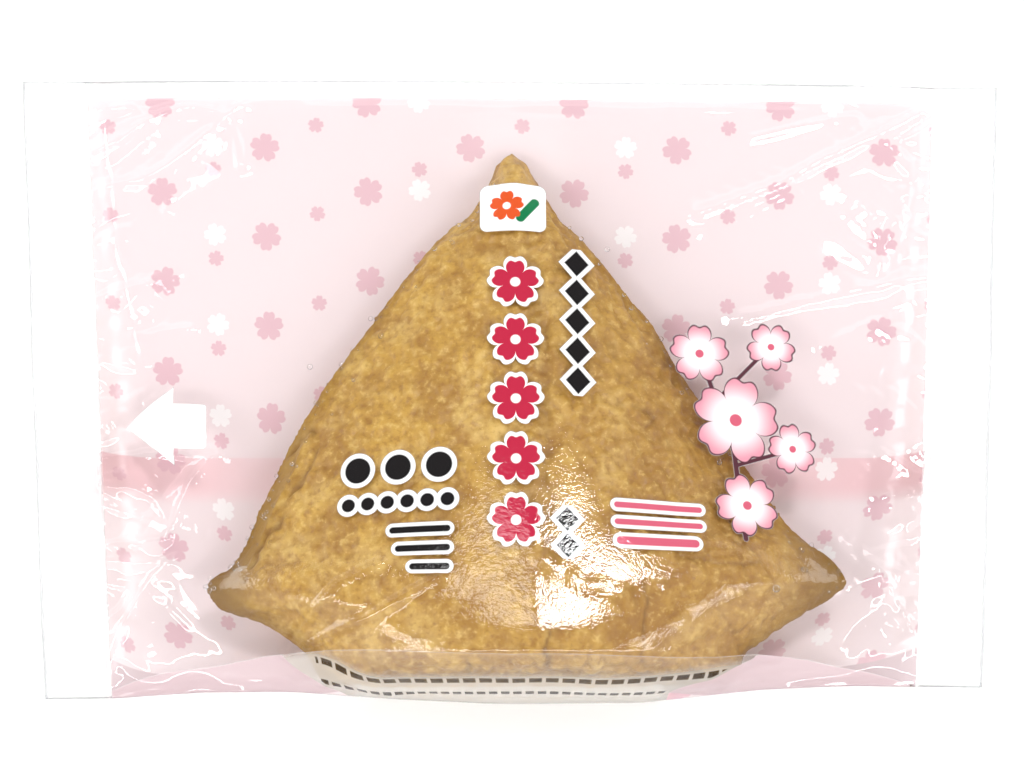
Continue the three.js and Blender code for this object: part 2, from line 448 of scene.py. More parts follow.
wander_x, wander_y = (CREASE_WANDER * noise_at(skin, 2.6, offset) for offset in (31.0, 47.0))
broken = soft_step(-0.35, 0.1, noise_at(skin, 2.2, 59.0))
crease = np.zeros(len(skin))
for line, half_width, depth in CREASES:
    gap = distance_to_line(skin_x + wander_x, skin_y + wander_y, line)
    crease = np.maximum(crease, depth * np.exp(-(gap / half_width) ** 2) * upward * broken)
broad = 0.5 - 0.5 * (noise_at(skin, BROAD_WAVE, 3.0) + 0.5 * noise_at(skin, BROAD_WAVE / 2.2, 9.0))
puffs = 0.62 * lines_in_noise(skin, PUFF_SIZE, 17.0, 2.2)
puffs += 0.38 * lines_in_noise(skin, PUFF_SIZE * 0.6, 23.0, 2.2)
puffs = np.clip(puffs, 0, 1) ** 1.5
wrinkles = np.clip(lines_in_noise(skin, WRINKLE_SIZE, 5.0, 2.0), 0, 1) ** 2
near_ridge = np.exp(-((skin_x - 4) / 9) ** 2)
near_base = soft_step(-24, -40, skin_y)
wrinkles *= 0.35 + 0.65 * np.clip(near_ridge + 0.6 * near_base, 0, 1)
rim = soft_step(0.86, 1.0, np.clip(pouch_levels(skin_x, skin_y)[0], 0, 1))
grain = noise_at(skin, GRAIN_SIZE, 71.0)
lean_x, lean_y = math.cos(VEIN_LEAN), math.sin(VEIN_LEAN)
leaning = np.stack([skin_x * lean_x + skin_y * lean_y, skin_y * lean_x - skin_x * lean_y, skin[:, 2]], -1)
veins = np.clip(lines_in_noise(leaning, VEIN_SIZE, 83.0, 2.6), 0, 1) ** 2
veins *= 0.35 + 0.65 * soft_step(2, 12, skin_x)
hem = soft_step(HEM_WIDTH + 0.4, HEM_WIDTH - 0.4, skin_x - np.interp(skin_y, *left_edge))
hem *= soft_step(-6, -10, skin_y) * soft_step(-38, -35, skin_y) * upward
relief = BROAD_DEPTH * np.clip(broad, 0, 1) + PUFF_DEPTH * puffs + WRINKLE_DEPTH * wrinkles
relief += VEIN_DEPTH * veins + GRAIN_DEPTH * grain - RELIEF_LIFT
sunk = relief * (1 - 0.55 * rim) + crease + HEM_DEPTH * hem
skin -= facing * sunk[:, None]
skin[:, 2] = np.maximum(skin[:, 2], REST_LEVEL)
sushi_mesh.vertices.foreach_set("co", (skin * MM).astype(np.float32).ravel())
sushi_mesh.update()

skin_marks = {
    "hollow_shade": np.clip(puffs * 0.6 + wrinkles * 0.35 + veins * 0.5, 0, 1),
    "crease": np.clip(crease / 0.5, 0, 1),
    "rim": rim,
    "hem": hem,
}
for name, values in skin_marks.items():
    mark_points(sushi_mesh, name, values)

# Fried tofu: a moist golden skin, paler on its puffs. Painted shade browns its hollows, its creases and its
# right face, and darkens its edge and corners, which are also drier, with less sheen.
TOFU_GOLD = linear(197, 154, 64)
TOFU_PALE = linear(225, 190, 112)
TOFU_BROWN = linear(146, 98, 30)
# painted shade for the crease lines
TOFU_CREASE_SHADE = linear(112, 72, 24)
# painted shade for the folded edge and the ears
TOFU_EDGE_SHADE = linear(131, 95, 36)
TOFU_HEM = linear(178, 145, 95)


def blend(share, first, second):
    """One colour turned into another by a share."""
    return add_node(share.tree, "ShaderNodeMix", {"Factor": share, 6: first, 7: second}, 2, data_type="RGBA")


def scaled(values, factor):
    """A vector made longer or shorter by a factor."""
    inputs = {0: values, "Scale": factor}
    return add_node(tree_of((values, factor)), "ShaderNodeVectorMath", inputs, operation="SCALE")


def place_in_mm(tree):
    """Where a point is in its object, in millimetres."""
    return scaled(add_node(tree, "ShaderNodeTexCoord", output="Object"), 1 / MM)


def noise_value(place, scale, detail, roughness):
    inputs = {"Vector": place, "Scale": scale, "Detail": detail, "Roughness": roughness}
    return add_node(place.tree, "ShaderNodeTexNoise", inputs, "Fac")


def attribute_value(tree, name):
    return add_node(tree, "ShaderNodeAttribute", output="Fac", attribute_name=name)


tofu = new_material("fried_tofu")
tree = tofu.node_tree
place = place_in_mm(tree)
across_tofu = split(place)[0]
mark = {name: attribute_value(tree, name) for name in skin_marks}
cloudy = noise_value(place, 0.16, 4.0, 0.6)
pale_patch = noise_value(place, 0.11, 3.0, 0.6)
mottle = noise_value(place, 0.55, 4.0, 0.6)
speckle = noise_value(place, 1.1, 2.0, 0.55)
# The two ears, which take painted shade in the skin's colour and have less sheen.
left_corner = ramp(across_tofu, -35.0, -44.5, 0.0, 0.9)
right_corner = ramp(across_tofu, 39.5, 50.0, 0.0, 0.9)
tone = TOFU_GOLD
for share, colour in (
        (ramp(cloudy, 0.42, 0.62, 0.0, 0.55), TOFU_BROWN),
        (ramp(pale_patch, 0.5, 0.66, 0.0, 0.5), TOFU_PALE),
        (ramp(mottle, 0.5, 0.72, 0.0, 0.6), TOFU_PALE),
        (ramp(mottle, 0.5, 0.3, 0.0, 0.5), TOFU_BROWN),
        # painted shade: the right face is browned as if it were less lit
        (ramp(across_tofu, -4.0, 34.0, 0.0, 0.34), TOFU_BROWN),
        # painted shade: the skin's sunk hollows are browned as if shaded
        (mark["hollow_shade"] * 0.5, TOFU_BROWN),
        (ramp(speckle, 0.55, 0.75, 0.0, 0.35), TOFU_PALE),
        (ramp(speckle, 0.45, 0.3, 0.0, 0.3), TOFU_BROWN),
        (mark["hem"] * 0.6, TOFU_HEM),
        # painted shade darkens the folded edge
        (mark["rim"] * 0.45, TOFU_EDGE_SHADE),
        # painted shade darkens the crease lines
        (mark["crease"] * 0.7, TOFU_CREASE_SHADE),
        # painted shade darkens both ears
        (left_corner, TOFU_EDGE_SHADE),
        (right_corner, TOFU_EDGE_SHADE)):
    tone = blend(share, tone, colour)
dry = maths("MAXIMUM", maths("MAXIMUM", mark["rim"], left_corner), right_corner)
pores = {"Strength": 0.55, "Distance": 0.12 * MM, "Height": noise_value(place, 2.6, 3.0, 0.65)}
finish_material(tofu, add_node(tree, "ShaderNodeBsdfPrincipled", {
    "Base Color": tone,
    "Roughness": ramp(mottle, 0.3, 0.7, 0.38, 0.56),
    "Specular IOR Level": dry * -0.42 + 0.5,
    "Coat Weight": dry * -0.12 + 0.12,
    "Coat Roughness": 0.28,
    "Normal": add_node(tree, "ShaderNodeBump", pores),
}))
sushi_mesh.materials.clear()
sushi_mesh.materials.append(tofu)
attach(sushi, "root")


# --- The film pack -------------------------------------------------------------------------------------
# One web of clear film, wrapped round the sushi into a tube and pinched flat into a seal at each end.
# It is drawn taut over the food like a tent, and lies in pleats and creases beside the seals.

FILM_LENGTH = 159.4  # from cut end to cut end
SEAL_WIDTH = 10.4
LEFT_SEAL = {"top": (-79.45, 50.7), "bottom": (-71.7, -50.8), "inwards": 1}
RIGHT_SEAL = {"top": (79.45, 49.7), "bottom": (73.0, -49.0), "inwards": -1}
SEAL_LEVEL_TOP = 2.2
SEAL_LEVEL_BOTTOM = 7.6
SEAL_ARCH = 1.2
SEAL_DROOP = 0.12
SEAL_WAVE = 0.45
SEAL_HALF_WAVES = 5
SEAL_WAVE_START = 0.6
SEAL_LAYER_GAP = 0.12
SEAL_LAYERS_PART = 60  # how soon the two layers are that far apart, from the folds that they share
TABLE_GAP = 0.35
FOOD_GAP = 0.3

# The tube's two long folds, x, y and z: along its top, and along its bottom over the nose of the food.
TOP_FOLD = (
    (-70.0, 51.2, 2.0), (-59.0, 51.1, 1.5), (-18.0, 51.3, 1.1), (31.0, 50.8, 1.1), (60.0, 50.3, 1.5),
    (70.0, 50.0, 2.0),
)
BOTTOM_FOLD = (
    (-62.0, -50.6, 7.6), (-48.0, -49.9, 7.6), (-34.0, -49.8, 8.0), (-25.0, -50.6, 9.2), (-17.0, -51.3, 10.4),
    (-1.5, -52.1, 11.0), (20.0, -51.9, 11.0), (29.0, -50.8, 9.8), (38.5, -49.6, 8.4), (51.0, -48.9, 7.8),
    (63.0, -49.0, 7.6),
)
# How far the film first stands over those folds, from the top fold (0) to the bottom one (1).
MIDDLE_RISE = (
    (0, 0), (0.13, 7.0), (0.37, 13.5), (0.65, 17.5), (0.85, 18.8), (0.92, 16.0), (0.96, 9.5), (1, 0),
)

# Broad folds, and sharp creases, in the front face: points along each from above, its height and half
# its width.
BROAD_FOLDS = (
    (((-43, 47), (-50, 40), (-57, 34), (-66, 31)), 0.7, 4.5),
    (((-67, 38), (-60, 43), (-52, 46.5), (-45, 43), (-43, 36)), 0.5, 3.0),
    (((-46, -13.6), (-51, -21), (-53.5, -27)), 0.9, 4.0),
    (((-52, -30), (-57, -36), (-60.5, -42), (-62.5, -47)), 0.9, 4.0),
    (((30, 27), (44, 33), (58, 40), (67, 45)), 0.7, 3.5),
    (((36, 9), (46, 12), (58, 15), (67, 17)), 0.6, 3.5),
    (((69, 43), (63, 39), (65, 34), (62, 25), (59, 18)), 0.6, 3.5),
    (((57, -31), (61, -38), (64, -45)), 0.7, 4.0),
    (((5, -31.5), (11, -35), (17, -36.5)), 0.5, 3.8),
)
SHARP_CREASES = (
    (((-67.6, 37.9), (-63, 40.1), (-60.3, 42.7), (-57, 45.2), (-53.6, 46.4), (-50.9, 46.4), (-48.1, 45.5),
      (-46, 44.3), (-45, 43), (-43.9, 39.1), (-43.5, 35.6)), 0.42, 1.3),
    (((-43.8, 46.7), (-46, 44.3), (-49, 41.6), (-51.7, 38.8), (-55, 35.9), (-59.4, 33.1), (-66.1, 32.2)),
     0.45, 1.6),
    (((-51.7, 38.8), (-54.3, 33.7), (-55.1, 27.9)), 0.35, 1.5),
    (((-68.1, 43.3), (-66.2, 45.7), (-61.7, 46.5), (-58.9, 45.2)), 0.35, 1.3),
    (((-65.6, 13.8), (-57.8, 15.6)), 0.3, 1.3),
    (((-65, 6.5), (-50.6, 7.8), (-55.9, 3.2), (-59.2, 1.6), (-64.9, 3.2)), 0.4, 1.4),
    (((-65.5, -13.1), (-55.5, -12.5), (-52.2, -12.7), (-46.2, -13.6)), 0.5, 1.2),
    (((-46.2, -13.6), (-49.4, -17.5), (-50.9, -20.8), (-51.9, -23.8), (-53.1, -26.5)), 0.55, 1.2),
    (((-53.1, -26.5), (-58.4, -26.8), (-65, -27.2)), 0.45, 1.2),
    (((-65, -17.3), (-58.7, -17.8), (-55.3, -19.5), (-53.8, -21.9), (-52.8, -24.2)), 0.45, 1.2),
    (((-65, -20), (-59.8, -21.6), (-55.9, -22.9), (-53.5, -24.2)), 0.35, 1.1),
    (((-65, -29.1), (-58.3, -29.9), (-52.4, -29.9)), 0.45, 1.2),
    (((-52.4, -29.9), (-55, -32.1), (-57.5, -35.7), (-59.6, -39.6), (-61.2, -43.7), (-62.5, -47.3)),
     0.5, 1.2),
    (((-65, -32.4), (-59.5, -33.3), (-58.5, -34.4), (-60, -37.1), (-62.5, -39)), 0.45, 1.2),
    (((-62.9, -7.7), (-62.2, -9.4), (-65.5, -10.9)), 0.35, 1.1),
    (((30.5, 26.9), (44.2, 32.7), (50.2, 36.8), (59.3, 41.1), (67, 45.4)), 0.5, 1.6),
    (((30.4, 23.6), (38.3, 26.6), (46.4, 31.1)), 0.25, 1.5),
    (((39.2, 40.8), (46.6, 42.8), (56.2, 45)), 0.3, 1.5),
    (((68.6, 43.2), (62.8, 39.8), (63.4, 36.4), (65.1, 34.1), (63.4, 29.7), (60.4, 22.6), (58.7, 17.6)),
     0.42, 1.7),
    (((67.1, 16.6), (63, 16.3), (58, 14.8), (46, 11.9), (36.6, 8.9)), 0.4, 1.7),
    (((64.8, 12.2), (58.5, 9.6), (52.1, 6.1), (48.9, 4.5)), 0.3, 1.3),
    (((58.6, -12.3), (62.1, -14.6), (65.5, -15.9)), 0.3, 1.1),
    (((56.8, -20), (64.8, -18.1)), 0.35, 1.3),
    (((64.6, -25.3), (54.4, -27.8)), 0.3, 1.3),
    (((64.3, -31.4), (57.4, -31.4), (61.1, -38.4), (63.9, -45.5)), 0.4, 1.4),
    (((-34.2, -44.1), (-31.6, -40.6), (-25.9, -34.8), (-19.3, -31.8)), 0.8, 1.2),
    (((-30.8, -43.5), (-25.5, -41.2), (-21.8, -40.2), (-10.8, -34.4)), 0.9, 1.4),
    (((23.4, -36.1), (26.6, -40.8)), 0.25, 1.1),
    (((-33.2, -43.3), (-27.1, -45.1), (-16.5, -45.6), (-1.5, -45.6), (13.6, -45.6), (28.7, -45.3),
      (40.8, -45.1)), 0.3, 1.1),
)

WEB_SLIP = 5.0  # the web evens itself out over this distance as it slides on the food

# How far the web has slipped round the food by the time it reaches the nose, at places across the pack.
WEB_DRIFT = ((-69, -2.8), (-64, -2.2), (-55, -0.6), (-47, 1.0), (-42, 1.5), (-34, 1.3), (-20, 0.9), (0, -0.2),
             (20, 0.5), (32, 0.9), (40, 1.5), (50, 1.6), (64, -0.5), (69, -0.8))

# How finely the film is worked out at each stage: thread spacing, rounds of drawing it taut, then steps of
# letting its slack settle.
STAGES = (
    {"spacing": 5.2, "taut": 420, "steps": 0},
    {"spacing": 2.6, "taut": 260, "steps": 0},
    {"spacing": 1.3, "taut": 90, "steps": 46},
    {"spacing": 0.52, "taut": 0, "steps": 16},
)
FRONT_GIRTH = 108  # for the count of threads
BACK_COARSENING = 2.6  # the back face lies flat and takes fewer threads at the last stage
STIFFNESS = 0.12

# What each point of the film is linked to: steps across, steps round from and to, how firmly.
LINKS = {
    "across": (1, 0, 0, 1.0),
    "up": (1, 0, 1, 0.5),
    "down": (1, 1, 0, 0.5),
    "round": (0, 0, 1, 1.0),
    "across_two": (2, 0, 0, STIFFNESS),
    "round_two": (0, 0, 2, STIFFNESS),
}

PLEAT_SLACK = 0.02  # spare film round the tube beside the seals
PLEAT_REACH = 24.0
SETTLE_ROUNDS = 8
EVENING = 0.95  # of the way to its neighbours' mean that each point goes in a round
BACK_DROP = 0.02
PUSH_ALONG = 0.9  # of what it takes to leave the food: down its slope, and up
PUSH_UP = 0.98
TRAPPED_AIR = 0.0012  # how far it lifts the film in a step
SAG = 0.0015
BACK_SAG = 6.0  # times as much at the back, which hangs down to the table
SPEED_KEPT = 0.9  # from step to step
TOP_SPEED = 0.6
FOLD_PEAK = 1.3  # how sharply a fold or crease peaks
SLOPE_PROBE = 0.15
STEEPEST = 4  # slope of the food that the film takes account of
CRUMPLE_SEED = 7
CRUMPLE_THREADS = 5  # from dent to dent
CRUMPLE = (0.04, 0.22)  # over the food, and beside the seals
CRUMPLE_REACH = (44, 62)  # how far out it begins to grow, and is full


def seal_points(seal, share, inward):
    """Points of the flattened tube in a seal, by their share of the way round and how far in they are."""
    along = np.where(share <= 0.5, 2 * share, 2 - 2 * share)
    from_fold = np.minimum(np.minimum(share, 1 - share), np.abs(share - 0.5))
    layer = np.clip(from_fold * SEAL_LAYERS_PART, 0, 1) * np.where(share <= 0.5, 1, -1)
    free = 1 - min(inward / SEAL_WIDTH, 1)
    level = mix(SEAL_LEVEL_TOP, SEAL_LEVEL_BOTTOM, along * along * (3 - 2 * along))
    level = (level + SEAL_ARCH * np.sin(np.pi * along)) * (1 - SEAL_DROOP * free)
    wave = np.sin(SEAL_HALF_WAVES * np.pi * along + SEAL_WAVE_START)
    level = level + SEAL_WAVE * free * wave + layer * SEAL_LAYER_GAP
    x = mix(seal["top"][0], seal["bottom"][0], along) + seal["inwards"] * inward
    y = mix(seal["top"][1], seal["bottom"][1], along)
    return np.stack([x, y, level], -1)


def in_seal(across):
    return FILM_LENGTH / 2 - np.abs(across) <= SEAL_WIDTH + 1e-6


def threads(stage):
    """Where the film's threads run: across the pack in millimetres, and round it as shares of the way."""
    columns = int(round(FILM_LENGTH / stage["spacing"] / 2)) * 2 + 1
    across = np.linspace(-FILM_LENGTH / 2, FILM_LENGTH / 2, columns)
    front_rows = int(round(FRONT_GIRTH / stage["spacing"] / 2)) * 2
    back_rows = front_rows
    if stage is STAGES[-1]:
        back_rows = int(round(front_rows / BACK_COARSENING / 2)) * 2
    front = 0.5 * np.arange(front_rows) / front_rows
    back = 0.5 + 0.5 * np.arange(back_rows) / back_rows
    return across, np.concatenate([front, back])


def fold_point(fold, where, part):
    """A point of one of the two long folds, at a share of the way from the left seal to the right one."""
    left, right = (seal_points(seal, np.array([where]), SEAL_WIDTH)[0] for seal in (LEFT_SEAL, RIGHT_SEAL))
    line = np.array([left, *[p for p in fold if left[0] < p[0] < right[0]], right])
    x = mix(left[0], right[0], part)
    return np.array([x, *(np.interp(x, line[:, 0], line[:, k]) for k in (1, 2))])


def first_shape(across, share):
    """The film before it is drawn taut: from fold to fold, over the food in front and flat at the back."""
    points = np.zeros((len(across), len(share), 3))
    front = share <= 0.5
    along = np.where(front, 2 * share, 2 - 2 * share)[:, None]
    for i, place in enumerate(across):
        if in_seal(place):
            seal = LEFT_SEAL if place < 0 else RIGHT_SEAL
            points[i] = seal_points(seal, share, FILM_LENGTH / 2 - abs(place))
            continue
        part = (place + FILM_LENGTH / 2 - SEAL_WIDTH) / (FILM_LENGTH - 2 * SEAL_WIDTH)
        straight = mix(fold_point(TOP_FOLD, 0.0, part), fold_point(BOTTOM_FOLD, 0.5, part), along)
        middle = soft_step(75, 30, abs(place))
        rise = np.interp(along[:, 0], *np.array(MIDDLE_RISE).T) * middle
        straight[:, 2] += np.where(front, rise, 0)
        drop = np.where(front, 0, soft_step(1.0, 0.9, along[:, 0]) * soft_step(0, 0.05, along[:, 0]))
        straight[:, 2] = mix(straight[:, 2], TABLE_GAP, drop * middle)
        points[i] = straight
    return points


def between_threads(grid, columns, rows):
    """The grid's values between its threads, on a smooth curve; the rows close on themselves."""

    def along(values, places, axis, closed):
        count = values.shape[axis]
        whole = np.floor(places).astype(int)
        part = (places - whole).reshape([-1 if k == axis else 1 for k in range(values.ndim)])
        near = []
        for step in (-1, 0, 1, 2):
            index = np.mod(whole + step, count) if closed else np.clip(whole + step, 0, count - 1)
            near.append(np.take(values, index, axis=axis))
        a, b, c, d = near
        return b + 0.5 * part * (c - a + part * (2 * a - 5 * b + 4 * c - d + part * (3 * (b - c) + d - a)))

    return along(along(grid, columns, 0, False), rows, 1, True)


class Film:
    """The film as a net of threads. Its seals and its two long folds are held fast, and it is kept off the
    food and the table."""

    def __init__(self, points, across, share):
        self.points = points.astype(np.float32)
        self.speed = np.zeros_like(self.points)
        self.across = across
        self.share = share
        self.front = share <= 0.5
        folds = (share == 0) | (share == 0.5)
        self.free = np.where(in_seal(across)[:, None] | folds[None, :], 0.0, 1.0).astype(np.float32)
        self.columns = np.arange(len(across))
        self.rows = np.arange(len(share))

    def outward(self):
        """The way out of the pack at each point."""
        across = np.empty_like(self.points)
        across[1:-1] = self.points[2:] - self.points[:-2]
        across[0] = self.points[1] - self.points[0]
        across[-1] = self.points[-1] - self.points[-2]
        around = np.roll(self.points, -1, 1) - np.roll(self.points, 1, 1)
        normal = np.cross(around, across)
        return normal / (np.linalg.norm(normal, axis=-1, keepdims=True) + 1e-9)

    def push_out(self, height):
        """Moves the film outwards where it is free."""
        self.points += (self.outward() * (height * self.free)[..., None]).astype(np.float32)

    def keep_off(self):
        """Pushes the front of the film off the food along its slope, and keeps the back of the film under
        the food and over the table."""
        x, y, z = self.points[..., 0], self.points[..., 1], self.points[..., 2]
        out, fold_z, upper, lower = pouch_levels(x, y)
        over = (out < 1) & (y < TIP_Y) & (y > BASE_Y) & (self.free > 0)
        top = fold_z + upper + FOOD_GAP
        bottom = np.maximum(fold_z - lower - FOOD_GAP, TABLE_GAP)
        _, fold_x, upper_x, _ = pouch_levels(x + SLOPE_PROBE, y)
        _, fold_y, upper_y, _ = pouch_levels(x, y + SLOPE_PROBE)
        slope_x = np.clip((fold_x + upper_x + FOOD_GAP - top) / SLOPE_PROBE, -STEEPEST, STEEPEST)
        slope_y = np.clip((fold_y + upper_y + FOOD_GAP - top) / SLOPE_PROBE, -STEEPEST, STEEPEST)
        depth = np.where(over & self.front & (z < top), top - z, 0)
        push = depth / (1 + slope_x ** 2 + slope_y ** 2)
        x -= slope_x * push * PUSH_ALONG
        y -= slope_y * push * PUSH_ALONG
        z += push * PUSH_UP
        under = over & ~self.front & (z > bottom)
        z[under] = bottom[under]
        loose = self.free > 0
        z[loose] = np.maximum(z[loose], TABLE_GAP)

    def draw_taut(self, rounds):
        """Evens the film out between its seals, its folds and the food, as a stretched skin would be."""
        free = self.free[..., None]
        for _ in range(rounds):
            mean = (np.roll(self.points, 1, 1) + np.roll(self.points, -1, 1)) / 4
            mean[1:-1] += (self.points[2:] + self.points[:-2]) / 4
            self.points = self.points + EVENING * free * (mean - self.points)
            self.points[:, ~self.front, 2] -= BACK_DROP * self.free[:, ~self.front]
            self.keep_off()

    def measure(self, spare_round):
        """Takes the film's present lengths as those it keeps, with a little spare round the tube."""
        self.rest = {}
        for name, (across_step, around_a, around_b, _) in LINKS.items():
            start = np.roll(self.points, -around_a, 1)[: len(self.points) - across_step]
            gap = np.roll(self.points, -around_b, 1)[across_step:] - start
            self.rest[name] = np.sqrt((gap * gap).sum(-1))
            if across_step == 0:
                self.rest[name] = self.rest[name] * spare_round[:, None]

    def pull(self, columns_a, rows_a, columns_b, rows_b, rest, strength):
        """Brings pairs of points to their rest distance."""
        a = self.points[columns_a][:, rows_a]
        b = self.points[columns_b][:, rows_b]
        free_a = self.free[columns_a][:, rows_a]
        free_b = self.free[columns_b][:, rows_b]
        gap = b - a
        distance = np.sqrt((gap * gap).sum(-1)) + 1e-9
        total = free_a + free_b
        move = (distance - rest) / distance * strength / np.where(total > 0, total, 1)
        gap *= move[..., None]
        self.points[np.ix_(columns_a, rows_a)] = a + gap * free_a[..., None]
        self.points[np.ix_(columns_b, rows_b)] = b - gap * free_b[..., None]

    def keep_lengths(self):
        """Pulls at every second link of each kind, then at those between."""
        for turn in (0, 1):
            for name, (across_step, around_a, around_b, strength) in LINKS.items():
                columns, rows = self.columns, self.rows
                if across_step:
                    columns = columns[:-across_step][columns[:-across_step] // across_step % 2 == turn]
                else:
                    rows = rows[rows // around_b % 2 == turn]
                rows_a, rows_b = ((rows + step) % len(self.rows) for step in (around_a, around_b))
                rest = self.rest[name][np.ix_(columns, rows)]
                self.pull(columns, rows_a, columns + across_step, rows_b, rest, strength)

    def settle(self, steps):
        """Lets the film's slack settle into folds, lifted by trapped air and drawn down by its weight."""
        heavy = np.where(self.front, 1.0, BACK_SAG)
        for _ in range(steps):
            before = self.points.copy()
            self.speed *= SPEED_KEPT
            self.points = self.points + self.speed * self.free[..., None]
            self.push_out(TRAPPED_AIR)
            self.points[..., 2] -= (SAG * self.free * heavy).astype(np.float32)
            for turn in range(SETTLE_ROUNDS):
                self.keep_lengths()
                if turn % 2 == 1:
                    self.keep_off()
            self.keep_off()
            self.speed = np.clip(self.points - before, -TOP_SPEED, TOP_SPEED)

    def fold(self, folds):
        """Lifts the front face along lines seen from above."""
        lift = np.zeros(self.points.shape[:2])
        x, y = self.points[:, self.front, 0], self.points[:, self.front, 1]
        for line, height, half_width in folds:
            near = np.clip(1 - distance_to_line(x, y, line) / half_width, 0, 1)
            lift[:, self.front] = np.maximum(lift[:, self.front], height * near ** FOLD_PEAK)
        self.push_out(lift)

    def crumple(self, random):
        """Shakes the film a little: hardly over the food, more beside the seals."""
        columns, rows = self.points.shape[:2]
        coarse = random.normal(0, 1, (columns // CRUMPLE_THREADS + 3, rows // CRUMPLE_THREADS + 3, 1))
        shake = between_threads(coarse, np.linspace(0, coarse.shape[0] - 1, columns),
                                np.arange(rows) * coarse.shape[1] / rows)[..., 0]
        strength = mix(*CRUMPLE, soft_step(*CRUMPLE_REACH, np.abs(self.across)))
        self.push_out(shake * strength[:, None])


random = np.random.default_rng(CRUMPLE_SEED)
film = None
for stage in STAGES:
    across, share = threads(stage)
    if film is None:
        shape = first_shape(across, share)
    else:
        columns = np.linspace(0, film.points.shape[0] - 1, len(across))
        rows = np.interp(share, np.append(film.share, 1.0), np.arange(len(film.share) + 1))
        shape = between_threads(film.points.astype(float), columns, rows)
        shape[in_seal(across)] = first_shape(across[in_seal(across)], share)
    film = Film(shape, across, share)
    film.draw_taut(stage["taut"])
    if stage["steps"]:
        if stage is STAGES[2]:
            film.crumple(random)
            film.fold(BROAD_FOLDS)
        else:
            film.fold(SHARP_CREASES)
        seal_root = FILM_LENGTH / 2 - SEAL_WIDTH
        beside_seals = soft_step(seal_root - PLEAT_REACH, seal_root, np.abs(across))
        film.measure(1 + PLEAT_SLACK * beside_seals * (stage is STAGES[2]))
        film.settle(stage["steps"])

# The net as one closed skin: the tube in faces of four corners, and the cut edge of each seal in threes.
net = film.points.astype(float)
column_count, row_count = net.shape[:2]
number = np.arange(column_count * row_count).reshape(column_count, row_count)
film_faces = tube_faces(column_count, row_count)
tube_corner_count = 4 * len(film_faces)
turn_back = int(np.argmin(np.abs(share - 0.5)))
for column, flip in ((0, False), (column_count - 1, True)):
    front_chain = number[column, : turn_back + 1].tolist()
    back_chain = [front_chain[0], *number[column, turn_back:][::-1].tolist()]
    i, j = 0, 0
    while i < len(front_chain) - 1 or j < len(back_chain) - 1:
        face = [front_chain[i], back_chain[j]]
        front_is_behind = (i + 1) / len(front_chain) <= (j + 1) / len(back_chain)
        if j >= len(back_chain) - 1 or (i < len(front_chain) - 1 and front_is_behind):
            i += 1
            face.append(front_chain[i])
        else:
            j += 1
            face.append(back_chain[j])
        if len(set(face)) == 3:
            film_faces.append(face[::-1] if flip else face)
pack = mesh_object("film", net.reshape(-1, 3), film_faces)

# Where the film clings to the food, the tofu's grain ripples it, most of all low on its front.
cling_out, cling_fold, cling_upper, _ = pouch_levels(net[..., 0], net[..., 1])
clings = soft_step(0.95, 0.5, net[..., 2] - cling_fold - cling_upper) * (cling_out < 1) * film.front
clings *= mix(0.3, 1, soft_step(-24, -32, net[..., 1]))
mark_points(pack.data, "touch", clings)

FOLD_TO_FIN = 36.0  # from the bottom fold, up the back

# The web's own flat measure, which the print follows: across the pack, and round it from the top fold.
# It comes out longer than the girth over the food, and makes up for that between the bottom fold and the fin.
steps_round = np.linalg.norm(np.roll(net, -1, 1) - net, axis=-1)
from_top = np.concatenate([np.zeros((column_count, 1)), np.cumsum(steps_round, 1)], 1)
GIRTH = float(np.median(from_top[:, -1]))
slip = np.exp(-0.5 * (np.arange(-15, 15.1, across[1] - across[0]) / WEB_SLIP) ** 2)
slip /= slip.sum()
edge = len(slip) // 2
padded = np.pad(from_top, ((edge, len(slip) - 1 - edge), (0, 0)), "edge")
from_top = sum(weight * padded[k : k + column_count] for k, weight in enumerate(slip))
made_up = np.clip((from_top[:, :-1] - from_top[:, turn_back, None]) / FOLD_TO_FIN, 0, 1)
round_web = from_top[:, :-1] + made_up * (GIRTH - from_top[:, -1:])
drift = np.interp(across, *np.array(WEB_DRIFT).T)[:, None]
front_drift = soft_step(70, 98, round_web) * film.front
back_drift = soft_step(160, 130, round_web) * ~film.front
round_web = round_web + drift * (front_drift + back_drift)
across_web = np.broadcast_to(across[:, None] / FILM_LENGTH + 0.5, round_web.shape)
web = np.stack([across_web, round_web / GIRTH], -1).reshape(-1, 2)[np.concatenate(film_faces)]
tube_web = web[:tube_corner_count].reshape(-1, 4, 2)[..., 1]
crosses_top_fold = np.ptp(tube_web, axis=1) > 0.5
tube_web[crosses_top_fold[:, None] & (tube_web < 0.5)] += 1.0
pack.data.uv_layers.new(name="web").data.foreach_set("uv", web.astype(np.float32).ravel())


# --- The film's print ----------------------------------------------------------------------------------
# Inks on the inside of the web: a rosy ground strewn with plum blossom on the back, a white panel round the
# nose of the food, and small motifs in a clear front window. They are laid out in the web's flat measure.

PRINT_START = 100.0  # from the top fold, down the front
CLEAR_TOP = 2.9
PRINT_HALF_LENGTH = 69.2
PANEL_END = 146.0
GUSSET_END = 108.0
CUT_EDGE = 0.45
FOLD_EDGE = 0.22
MIRROR_SHARE = 0.06  # of the light, where the film is seen straight on
GLOSS_ROUGHNESS = 0.035
RIPPLE_DEPTH = 0.045
INK_EDGE = 0.12  # an ink's edge is this soft
GROUND_COVER = 0.76  # of what lies behind it
MOTIF_COVER = 0.8
RULE_COVER = 0.75
EDGE_SHADE_COVER = 0.5

